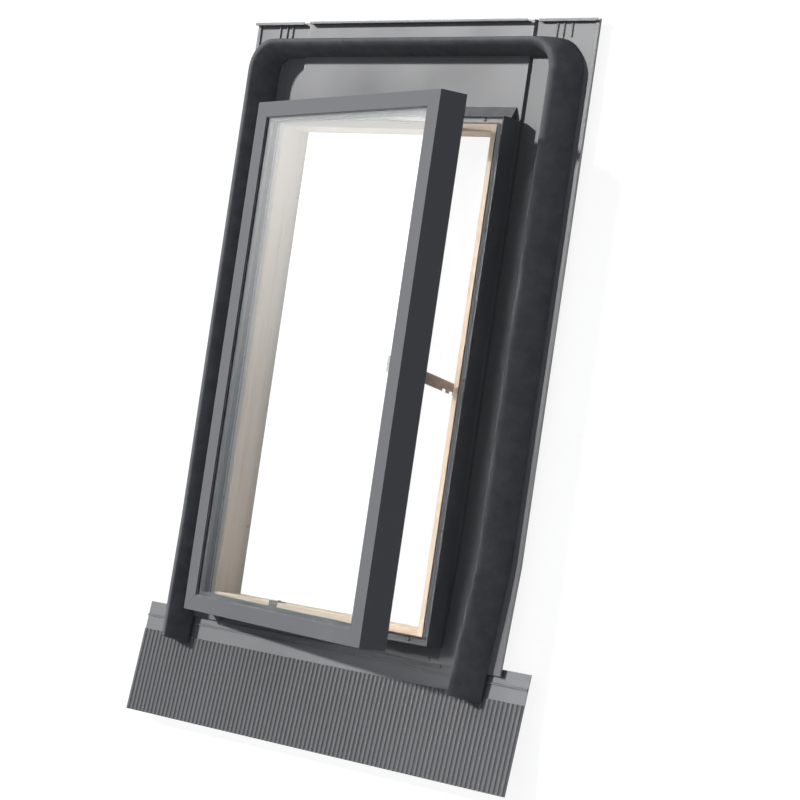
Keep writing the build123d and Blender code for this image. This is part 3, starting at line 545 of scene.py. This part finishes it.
@dataclass(frozen=True)
class PineFinish:
    """Clear-varnished pine with a straight grain."""

    name: str
    grain: Grain
    pale: Colour = (0.88, 0.715, 0.555)
    warm: Colour = (0.76, 0.54, 0.385)
    fibre: Colour = (0.58, 0.41, 0.26)
    patch: Colour = (0.92, 0.78, 0.60)
    stretch: float = 0.045
    ring_scale: float = 85.0
    fibre_scale: float = 1500.0
    patch_scale: float = 6.0

    def make(self) -> bpy.types.Material:
        """Lays out growth rings, fine fibres and a thin varnish."""
        weave = Weave(self.name)
        long_way = (1.0, self.stretch, 1.0) if self.grain is Grain.UP_THE_SLOPE else (self.stretch, 1.0, 1.0)
        finer_way = tuple(share ** 1.5 for share in long_way)
        rings = weave.noise(weave.stretched(long_way), self.ring_scale, 3.0, 0.55, 0.6)
        fibres = weave.noise(weave.stretched(finer_way), self.fibre_scale, 3.0, 0.6)
        patches = weave.noise(weave.stretched(), self.patch_scale, 2.0)
        between = tuple((p + w) / 2 for p, w in zip(self.pale, self.warm))
        colour = weave.ramp(rings, ((0.36, self.pale), (0.56, between), (0.66, self.warm), (0.72, self.pale)))
        colour = weave.blend(weave.span(fibres, 0.0, 0.22), colour, self.fibre)
        colour = weave.blend(weave.span(patches, 0.0, 0.14), colour, self.patch)
        normal = weave.bump(fibres, 0.35, 0.12)
        normal = weave.bump(rings, 0.2, 0.15, normal)
        weave.surface(colour, weave.span(fibres, 0.42, 0.58), normal, Specular_IOR_Level=0.35)
        return weave.material


@dataclass(frozen=True)
class SheetFinish:
    """Folded sheet or extruded profile with a powder or coil coating."""

    name: str
    colour: Colour
    roughness: float
    specular: float
    texture: float = 0.01
    mottle: float = 0.04
    dust: float = 0.01
    dust_colour: Colour = (0.62, 0.60, 0.57)
    drift_scale: float = 5.0
    speckle_scale: float = 2600.0
    wave_scale: float = 26.0
    wave_height: float = 0.35

    def make(self) -> bpy.types.Material:
        """Lays out the coating's fine texture, slow colour drift and a trace of dust."""
        weave = Weave(self.name)
        plain = weave.stretched()
        drift = weave.noise(plain, self.drift_scale, 3.0)
        speckle = weave.noise(plain, self.speckle_scale, 2.0, 0.6)
        waves = weave.noise(weave.stretched((1.0, 0.35, 1.0)), self.wave_scale, 2.0)
        lighter = tuple(min(1.0, c * (1 + self.mottle) + 0.004) for c in self.colour)
        darker = tuple(c * (1 - self.mottle) for c in self.colour)
        colour = weave.ramp(drift, ((0.32, darker), (0.5, self.colour), (0.68, lighter)))
        colour = self.tint(weave, weave.blend(weave.span(speckle, 0.0, self.dust), colour, self.dust_colour))
        normal = weave.bump(speckle, 0.5, self.texture)
        normal = weave.bump(waves, 0.25, self.wave_height, normal)
        rough = weave.span(drift, self.roughness - 0.05, self.roughness + 0.06)
        weave.surface(colour, rough, normal, Specular_IOR_Level=self.specular)
        return weave.material

    def tint(self, weave: Weave, colour: bpy.types.NodeSocket) -> bpy.types.NodeSocket:
        """Leaves the coating's colour as it is."""
        return colour


@dataclass(frozen=True)
class CoverFinish(SheetFinish):
    """A coated cover whose channel floor shows bare metal at the sides and the top; at the bottom the dark
    coating stays on as painted shade.
    """

    bare: Colour = (0.5, 0.505, 0.51)
    # The box leaves out the bottom channel, whose dark coating there is painted shade.
    bare_low: Triple = (-246.9, -356.0, 45.5)
    bare_high: Triple = (246.9, 405.9, 49.5)

    def tint(self, weave: Weave, colour: bpy.types.NodeSocket) -> bpy.types.NodeSocket:
        """Shows bare metal on the channel floor, but not at the bottom, where the dark coating is kept as
        painted shade.

        Args:
            weave: The material's nodes.
            colour: The coating's colour.

        Returns:
            The colour of coating and bare metal.
        """
        return weave.blend(weave.inside(self.bare_low, self.bare_high), colour, self.bare)


@dataclass(frozen=True)
class ApronFinish(SheetFinish):
    """A coated apron with painted shade on the crests of its pleats and painted light in their valleys."""

    # crest darkens the lit crests as painted shade; valley lightens the shaded valleys as painted light.
    crest: float = 0.55
    valley: float = 1.7
    pleats: PleatSizes = PleatSizes()

    def tint(self, weave: Weave, colour: bpy.types.NodeSocket) -> bpy.types.NodeSocket:
        """Darkens the crests and lightens the valleys of the pleats: painted shade on the lit crests and
        painted light in the shaded valleys.

        Args:
            weave: The material's nodes.
            colour: The coating's colour.

        Returns:
            The colour of band and pleats.
        """
        foot = self.pleats.start_z * MM
        run = weave.math("SUBTRACT", self.pleats.start_y * MM, weave.along(1))
        height = weave.math("SUBTRACT", weave.along(2), weave.math("MULTIPLY", run, self.pleats.slope))
        share = weave.span(height, self.valley, self.crest, foot, foot + self.pleats.rise * MM)
        on_pleats = weave.math("GREATER_THAN", run, 0.0)
        pleat_light_and_shade = weave.add("ShaderNodeCombineColor", Red=share, Green=share, Blue=share).outputs[0]
        return weave.blend(on_pleats, colour, pleat_light_and_shade, "MULTIPLY")


@dataclass(frozen=True)
class FoamFinish:
    """Dense closed-cell foam with a slightly open skin."""

    name: str
    colour: Colour
    cell_scale: float = 900.0
    skin_scale: float = 45.0

    def make(self) -> bpy.types.Material:
        """Lays out cells, pores and a patchy matt skin."""
        weave = Weave(self.name)
        cells = weave.cells(self.cell_scale, "Distance")
        skin = weave.noise(weave.stretched(), self.skin_scale, 4.0, 0.55)
        lighter, darker, pore = (tuple(c * share for c in self.colour) for share in (1.22, 0.84, 0.5))
        colour = weave.ramp(skin, ((0.3, darker), (0.7, lighter)))
        colour = weave.blend(weave.span(cells, 0.3, 0.0, 0.0, 0.35), colour, pore)
        normal = weave.bump(cells, 0.4, 0.15)
        normal = weave.bump(skin, 0.2, 0.1, normal)
        weave.surface(colour, weave.span(skin, 0.74, 0.9), normal, Specular_IOR_Level=0.22)
        return weave.material


@dataclass(frozen=True)
class RubberFinish:
    """Extruded rubber, on a pale carrier where it has one."""

    name: str
    colour: Colour
    carrier: Optional[Colour] = None
    carrier_top: float = 51.2
    bloom_scale: float = 60.0
    grit_scale: float = 2200.0

    def make(self) -> bpy.types.Material:
        """Lays out a fine grit and a little bloom."""
        weave = Weave(self.name)
        bloom = weave.noise(weave.stretched(), self.bloom_scale, 4.0)
        grit = weave.bump(weave.noise(weave.stretched(), self.grit_scale, 2.0), 0.4, 0.05)
        bloomed = tuple(c * 2.2 for c in self.colour)
        colour = weave.ramp(bloom, ((0.35, self.colour), (0.75, bloomed)))
        if self.carrier:
            below = weave.math("LESS_THAN", weave.along(2), self.carrier_top * MM)
            colour = weave.blend(below, colour, self.carrier)
        weave.surface(colour, weave.span(bloom, 0.5, 0.7), grit, Specular_IOR_Level=0.35)
        return weave.material


@dataclass(frozen=True)
class PlatedFinish:
    """Zinc-plated steel with a brushed, slightly dull face."""

    name: str
    colour: Colour = (0.52, 0.49, 0.44)
    dull: float = 0.0
    brushed: Triple = (0.06, 1.0, 0.06)
    stroke_scale: float = 2400.0
    spangle_scale: float = 420.0
    smear_scale: float = 55.0

    def make(self) -> bpy.types.Material:
        """Lays out brushing, plating spangle and smears."""
        weave = Weave(self.name)
        strokes = weave.noise(weave.stretched(self.brushed), self.stroke_scale, 2.0)
        smears = weave.noise(weave.stretched(), self.smear_scale, 5.0)
        smeared = tuple(c * 0.62 for c in self.colour)
        colour = weave.blend(0.12, self.colour, weave.cells(self.spangle_scale, "Color"), "OVERLAY")
        colour = weave.blend(weave.span(smears, 0.0, 0.35), colour, smeared)
        rough = weave.span(smears, 0.34 + self.dull, 0.5 + self.dull)
        weave.surface(colour, rough, weave.bump(strokes, 0.35, 0.03), Metallic=0.85 - self.dull)
        return weave.material


@dataclass(frozen=True)
class GlassFinish:
    """Float glass that lets lamps through."""

    name: str
    bend: float
    tint: Colour = (0.985, 0.995, 0.99)
    shade: Colour = (0.45, 0.455, 0.455)
    dust_scale: float = 30.0

    def make(self) -> bpy.types.Material:
        """Lays out clear glass with a trace of dust, and a shaded way for rays from lamps."""
        weave = Weave(self.name)
        dust = weave.noise(weave.stretched(), self.dust_scale, 4.0)
        rough = weave.span(dust, 0.0, 0.012, 0.5, 0.8)
        glass = weave.surface(self.tint, rough, None, IOR=self.bend, Transmission_Weight=1.0)
        clear = weave.add("ShaderNodeBsdfTransparent", Color=self.shade)
        path = weave.add("ShaderNodeLightPath")
        weave.show(weave.mix(path.outputs["Is Shadow Ray"], glass, clear))
        return weave.material


@dataclass
class Finishes:
    """Every finish on the skylight, made once."""

    made: Dict[str, bpy.types.Material] = field(default_factory=dict)

    def make_all(self) -> None:
        """Makes the materials."""
        plans = (
            PineFinish("pine_up", Grain.UP_THE_SLOPE),
            PineFinish("pine_across", Grain.ACROSS),
            CoverFinish("cover_metal", (0.106, 0.107, 0.112), 0.45, 0.5),
            SheetFinish("flashing_metal", (0.100, 0.101, 0.103), 0.36, 1.0, texture=0.012),
            ApronFinish("apron_metal", (0.132, 0.133, 0.137), 0.5, 0.45, texture=0.02, mottle=0.05),
            SheetFinish("sash_metal", (0.115, 0.116, 0.122), 0.55, 0.2, texture=0.03),
            SheetFinish("inner_metal", (0.26, 0.28, 0.295), 0.6, 0.2, mottle=0.05, dust=0.05),
            FoamFinish("foam", (0.102, 0.103, 0.107)),
            FoamFinish("strip_foam", (0.12, 0.12, 0.122), cell_scale=1400.0),
            RubberFinish("seal", (0.11, 0.113, 0.118)),
            # The frame seal's dark brown is painted shade: it copies the shaded face of the wood that the
            # seal covers.
            RubberFinish("seal_shaded_wood_brown", (0.11, 0.085, 0.07), carrier=(0.66, 0.65, 0.63)),
            PlatedFinish("zinc"),
            PlatedFinish("dull_zinc", (0.24, 0.235, 0.225), dull=0.3),
            PlatedFinish("stay_metal", (0.40, 0.36, 0.31), dull=0.15),
            PlatedFinish("keeper_metal", (0.20, 0.185, 0.165), dull=0.2),
            GlassFinish("glass_outer", 1.4),
            GlassFinish("glass_inner", 1.2),
        )
        for plan in plans:
            self.made[plan.name] = plan.make()

    def __getitem__(self, name: str) -> bpy.types.Material:
        """Gives a finish by name."""
        return self.made[name]


# Sub-assemblies


@dataclass
class Sheetwork:
    """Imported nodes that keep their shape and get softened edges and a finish."""

    nodes: Dict[str, bpy.types.Object]
    finishes: Finishes

    def soften(self, node: str, finish: str, body: Body, slot: str, width: float, segments: int = 2,
               angle: float = 35.0) -> bpy.types.Object:
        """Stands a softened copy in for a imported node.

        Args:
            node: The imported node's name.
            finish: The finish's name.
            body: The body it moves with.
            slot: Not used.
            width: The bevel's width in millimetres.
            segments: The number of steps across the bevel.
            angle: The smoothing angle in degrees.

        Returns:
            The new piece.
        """
        piece = solid_copy(self.nodes[node], node + "_piece")
        soften_edges(piece, width, segments)
        smooth(piece, angle)
        return finish_piece(piece, self.finishes[finish], body, (node,))

    def paint(self, node: str, finish: str) -> None:
        """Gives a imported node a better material.

        Args:
            node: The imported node's name.
            finish: The finish's name.
        """
        piece = self.nodes[node]
        piece.data.materials.clear()
        piece.data.materials.append(self.finishes[finish])
        LOG.info("%s: carried over with %s", node, finish)


@dataclass
class TimberFrame:
    """The four finger-jointed pine boards."""

    work: Sheetwork
    edge: float = 0.5

    def build(self) -> None:
        """Dresses the boards, with their grain along their length."""
        for side in ("left", "right"):
            self.work.soften(f"board_{side}", "pine_up", Body.FRAME, "pine", self.edge)
        for side in ("top", "bottom"):
            self.work.soften(f"board_{side}", "pine_across", Body.FRAME, "pine", self.edge)


@dataclass
class FrameCovers:
    """The folded covers and the seal beside them."""

    work: Sheetwork
    edge: float = 0.3

    def build(self) -> None:
        """Dresses the covers and the seal."""
        for side in SIDES:
            self.work.soften(f"cover_{side}", "cover_metal", Body.FRAME, "cover_metal", self.edge)
        # The seal's dark brown is painted shade, copied from the shaded wood beside it.
        self.work.paint("frame_seal", "seal_shaded_wood_brown")


@dataclass
class FlashingKit:
    """The sheets round the frame, the gutter strip and the apron."""

    work: Sheetwork
    fold: float = 0.35
    pleat_edge: float = 0.9
    strip_edge: float = 1.0
    pleats: PleatSizes = PleatSizes()
    flap: float = 1.0
    gap: float = 0.1

    def build(self) -> None:
        """Dresses the sheets with small folds in place of sharp edges."""
        for node in ("head_flashing", "side_flashing_left", "side_flashing_right", "sill_flashing"):
            self.work.soften(node, "flashing_metal", Body.FRAME, "flashing_metal", self.fold)
        self.work.soften("pleated_apron", "apron_metal", Body.FRAME, "apron_metal", self.pleat_edge, 3, 60.0)
        self.work.soften("gutter_strip", "strip_foam", Body.FRAME, "strip_foam", self.strip_edge)
        self.close_pleats()

    def close_pleats(self) -> None:
        """Closes the upper ends of the pleats with small turned-down flaps."""
        pleats = self.pleats
        width = pleats.pitch - 2 * self.gap
        left, back, foot = self.gap - pleats.half_width, pleats.start_y - self.gap, pleats.start_z - self.flap
        piece = add_block("pleat_flaps", (left, back - self.flap, foot),
                          (left + width, back, foot + pleats.rise - self.gap))
        middle = (foot + pleats.rise / 2) * MM
        pick_corners(piece, lambda place: place.z > middle)
        bpy.ops.transform.resize(value=((width - 2 * pleats.lean) / width, 1.0, 1.0),
                                 center_override=((left + width / 2) * MM, 0.0, 0.0))
        bpy.ops.object.mode_set(mode="OBJECT")
        row = piece.modifiers.new("row", "ARRAY")
        row.count = pleats.count
        row.use_relative_offset = False
        row.use_constant_offset = True
        row.constant_offset_displace = (pleats.pitch * MM, 0.0, 0.0)
        apply_modifiers(piece)
        finish_piece(piece, self.work.finishes["apron_metal"], Body.FRAME)


@dataclass
class FoamCollar:
    """The moulded collar."""

    work: Sheetwork
    edge: float = 1.2

    def build(self) -> None:
        """Dresses the collar with a rounded crest and a smooth outer slope."""
        self.work.soften("foam_collar", "foam", Body.FRAME, "foam", self.edge, 3, 50.0)


@dataclass
class GlazedSash:
    """The mitred sash with its glass unit and seals."""

    work: Sheetwork
    edge: float = 0.6

    def build(self) -> None:
        """Dresses the profiles, the glass and what is between them."""
        for node in ("sash_stile_left", "sash_stile_right", "sash_rail_top", "sash_rail_bottom"):
            self.work.soften(node, "sash_metal", Body.SASH, "sash_metal", self.edge)
        self.work.paint("outer_pane", "glass_outer")
        self.work.paint("inner_pane", "glass_inner")
        self.work.paint("glass_spacer", "inner_metal")
        self.work.paint("corner_keys", "inner_metal")
        self.work.paint("glazing_seal", "seal")
        self.work.paint("edge_seal", "seal")


@dataclass
class Ironwork:
    """The hinges, the stay and the keeper."""

    work: Sheetwork
    edge: float = 0.3
    peg_edge: float = 0.5

    def build(self) -> None:
        """Dresses the plated pieces."""
        for body, nodes in ((Body.FRAME, ("hinge_frame_leaves", "peg_plate")),
                            (Body.SASH, ("hinge_sash_leaves", "stay_bracket")),
                            (Body.LINK, ("stay_link", "stay_rivet"))):
            for node in nodes:
                self.work.soften(node, "zinc", body, "zinc", self.edge)
        self.work.soften("stay_bar", "stay_metal", Body.BAR, "zinc", self.edge)
        self.work.soften("stay_peg", "zinc", Body.FRAME, "zinc", self.peg_edge)
        self.work.soften("keeper", "keeper_metal", Body.FRAME, "keeper_metal", self.edge)
        for node in ("hinge_pins", "stay_pin"):
            self.work.paint(node, "zinc")
        for node in ("cover_screws", "hinge_screws", "peg_screws", "keeper_screw", "sill_screws"):
            self.work.paint(node, "dull_zinc")


# Camera, lamps and surround


@dataclass(frozen=True)
class KeyLamp:
    """A key lamp that lights some pieces alone, and that other pieces may let through."""

    name: str
    towards: Triple
    share: float
    lit: Tuple[str, ...]
    let_through: Tuple[str, ...] = ()


@dataclass
class Studio:
    """The camera, the sun-like key lamps, the room's light, the floor and the pale surround."""

    # The camera fitted to the photograph: its place in metres, its axes and its lens in millimetres
    eye: Triple = (3.46775, -0.17183, 3.24237)
    right: Triple = (0.68581843, 0.1456809, -0.71304289)
    up: Triple = (-0.07699213, 0.9887857, 0.12796504)
    back: Triple = (0.72368867, -0.03286209, 0.68934374)
    lens: float = 141.2466
    film: float = 36.0

    # The directions that the key lamps shine from, their strength and their width in degrees
    key_from: Triple = (-0.667, 0.333, 0.667)
    head_from: Triple = (-0.697, 0.409, 0.589)
    side_from: Triple = (-0.545, 0.278, 0.791)
    apron_from: Triple = (-0.392, 0.300, 0.870)
    edge_from: Triple = (0.9, 0.1, 0.42)
    key_energy: float = 3.4
    key_width: float = 2.5

    # The surround: its plain light, how that leans, and the card that gloss shows
    ambient: float = 0.37
    drift: Triple = (-0.24, 0.07, 0.33)
    gloss: float = 3.4
    white: Colour = (1.0, 1.0, 1.0)
    card: Stops = ((0.0, (0.06, 0.07, 0.08)), (0.45, (0.29, 0.31, 0.325)), (1.0, white))
    card_rise: Tuple[float, float] = (-0.06, 0.14)
    card_edge: Tuple[float, float] = (-0.86, -0.94)
    beside_card: Colour = (0.02, 0.02, 0.02)
    cool_fill: Colour = (0.95, 0.98, 1.06)

    # The room's light and the floor, in metres
    room_energy: float = 0.4
    room_size: Tuple[float, float] = (0.41, 0.70)
    room_place: Triple = (0.0, 0.019, 0.001)
    floor_size: float = 60.0
    floor_drop: float = 0.0006
    floor_glow: float = 1.06
    floor_glow_in_glass: float = 1.4
    floor_shade: float = 0.15
    floor_pale: Colour = (0.8, 0.8, 0.8)
    floor_dim: Colour = (0.12, 0.12, 0.12)

    def add_camera(self) -> None:
        """Adds the camera at the photograph's place."""
        data = bpy.data.cameras.new("camera")
        data.sensor_width = self.film
        data.lens = self.lens
        data.clip_start = 0.1
        data.clip_end = 100.0
        camera = bpy.data.objects.new("camera", data)
        bpy.context.scene.collection.objects.link(camera)
        turn = Matrix((self.right, self.up, self.back)).transposed().to_4x4()
        camera.matrix_world = Matrix.Translation(Vector(self.eye)) @ turn
        bpy.context.scene.camera = camera

    def add_sun(self, name: str, towards: Triple, share: float = 1.0) -> bpy.types.Object:
        """Adds a distant lamp with nearly parallel rays.

        Args:
            name: The lamp's name.
            towards: The direction that the lamp shines from.
            share: Its strength as a share of the key's.

        Returns:
            The lamp.
        """
        data = bpy.data.lights.new(name, "SUN")
        data.energy = self.key_energy * share
        data.angle = math.radians(self.key_width)
        lamp = bpy.data.objects.new(name, data)
        bpy.context.scene.collection.objects.link(lamp)
        lamp.rotation_euler = Vector(towards).to_track_quat("Z", "Y").to_euler()
        return lamp

    def group(self, name: str, pieces: Sequence[str], state: str) -> bpy.types.Collection:
        """Gathers pieces for a lamp to include or exclude.

        Args:
            name: The group's name.
            pieces: The names of the pieces.
            state: INCLUDE or EXCLUDE.

        Returns:
            The group.
        """
        group = bpy.data.collections.new(name)
        for piece in pieces:
            group.objects.link(bpy.data.objects[piece])
        for member in group.collection_objects:
            member.light_linking.link_state = state
        return group

    def add_key(self) -> None:
        """Adds the key light, shared by five lamps from the upper left, and a weak lamp from the right."""
        head = ("head_flashing_piece", "side_flashing_left_piece")
        gutter = ("side_flashing_right_piece",)
        apron = ("pleated_apron_piece", "pleat_flaps")
        rim = tuple(f"{kind}_{side}_piece" for kind in ("cover", "board") for side in SIDES)
        sash = ("sash_stile_right_piece", "sash_rail_bottom_piece", "corner_keys")
        panes = ("outer_pane", "inner_pane", "glass_spacer", "edge_seal", "glazing_seal")
        main = self.add_sun("key", self.key_from)
        not_lit = self.group("key_not_lit", head + gutter + apron + rim, "EXCLUDE")
        main.light_linking.receiver_collection = not_lit
        for plan in (KeyLamp("key_head", self.head_from, 1.25, head),
                     KeyLamp("key_side", self.side_from, 0.55, gutter, sash),
                     KeyLamp("key_edge", self.edge_from, 0.13, gutter),
                     KeyLamp("key_apron", self.apron_from, 1.1, apron),
                     KeyLamp("key_rim", self.key_from, 0.4, rim, panes)):
            lamp = self.add_sun(plan.name, plan.towards, plan.share)
            lamp.light_linking.receiver_collection = self.group(plan.name + "_lit", plan.lit, "INCLUDE")
            if plan.let_through:
                clear = self.group(plan.name + "_clear", plan.let_through, "EXCLUDE")
                lamp.light_linking.blocker_collection = clear

    def add_room_light(self) -> None:
        """Adds the soft light of a bright room, which comes up through the opening."""
        data = bpy.data.lights.new("room", "AREA")
        data.shape = "RECTANGLE"
        data.size, data.size_y = self.room_size
        data.energy = self.room_energy
        lamp = bpy.data.objects.new("room", data)
        bpy.context.scene.collection.objects.link(lamp)
        lamp.location = self.room_place
        lamp.rotation_euler = (math.pi, 0.0, 0.0)
        lamp.visible_camera = False
        lamp.visible_glossy = False
        lamp.visible_transmission = False

    def add_floor(self) -> None:
        """Adds the white floor, which keeps a soft shadow of the object."""
        deselect()
        bpy.ops.mesh.primitive_plane_add(size=self.floor_size, location=(0.0, 0.0, -self.floor_drop))
        floor = bpy.context.object
        floor.name = "floor"
        weave = Weave("floor_white")
        in_glass = weave.add("ShaderNodeLightPath").outputs["Is Transmission Ray"]
        strength = weave.span(in_glass, self.floor_glow, self.floor_glow_in_glass, 0.0, 1.0)
        glow = weave.add("ShaderNodeEmission", Color=self.white, Strength=strength)
        pale = weave.add("ShaderNodeBsdfDiffuse", Color=self.floor_pale)
        dim = weave.add("ShaderNodeBsdfDiffuse", Color=self.floor_dim)
        weave.show(weave.mix(weave.seen(), dim, weave.mix(self.floor_shade, glow, pale)))
        floor.data.materials.append(weave.material)

    def add_surround(self) -> None:
        """Sets the world: white where it is seen, a soft bluish fall-off in gloss, plain light elsewhere."""
        world = bpy.data.worlds.new("surround")
        bpy.context.scene.world = world
        world.use_nodes = True
        bench = NodeBench(world.node_tree, "ShaderNodeOutputWorld")
        direction = bench.coords.outputs["Generated"]
        parts = bench.add("ShaderNodeSeparateXYZ", Vector=direction)
        card = bench.ramp(bench.span(parts.outputs["Y"], 0.0, 1.0, *self.card_rise), self.card)
        gloss = bench.blend(bench.span(parts.outputs["X"], 0.0, 1.0, *self.card_edge), self.beside_card, card)
        seen = bench.seen()
        glossy = bench.add("ShaderNodeLightPath").outputs["Is Glossy Ray"]
        colour = bench.blend(glossy, bench.blend(seen, self.cool_fill, self.white), gloss)
        lean = bench.add("ShaderNodeVectorMath")
        lean.operation = "DOT_PRODUCT"
        bench.put(lean, 0, direction)
        bench.put(lean, 1, self.drift)
        fill = bench.math("MAXIMUM", bench.math("ADD", lean.outputs["Value"], self.ambient), 0.0)
        plain = bench.math("ADD", bench.math("MULTIPLY", fill, bench.math("SUBTRACT", 1.0, seen)), seen)
        strength = bench.math("MAXIMUM", plain, bench.math("MULTIPLY", glossy, self.gloss))
        bench.show(bench.add("ShaderNodeBackground", Color=colour, Strength=strength))

    def build(self) -> None:
        """Sets up the whole studio."""
        self.add_key()
        self.add_room_light()
        self.add_floor()
        self.add_surround()
        bpy.context.scene.view_settings.view_transform = "Standard"


def main() -> None:
    """Loads the frame and builds every piece in order."""
    logging.basicConfig(level=logging.INFO, format="%(message)s")
    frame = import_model()
    studio = Studio()
    studio.add_camera()
    finishes = Finishes()
    finishes.make_all()
    work = Sheetwork(frame["nodes"], finishes)
    for part in (TimberFrame(work), FrameCovers(work), FlashingKit(work), FoamCollar(work), GlazedSash(work),
                 Ironwork(work)):
        part.build()
        LOG.info("%s done", type(part).__name__)
    studio.build()
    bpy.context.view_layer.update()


if __name__ == "__main__":
    main()
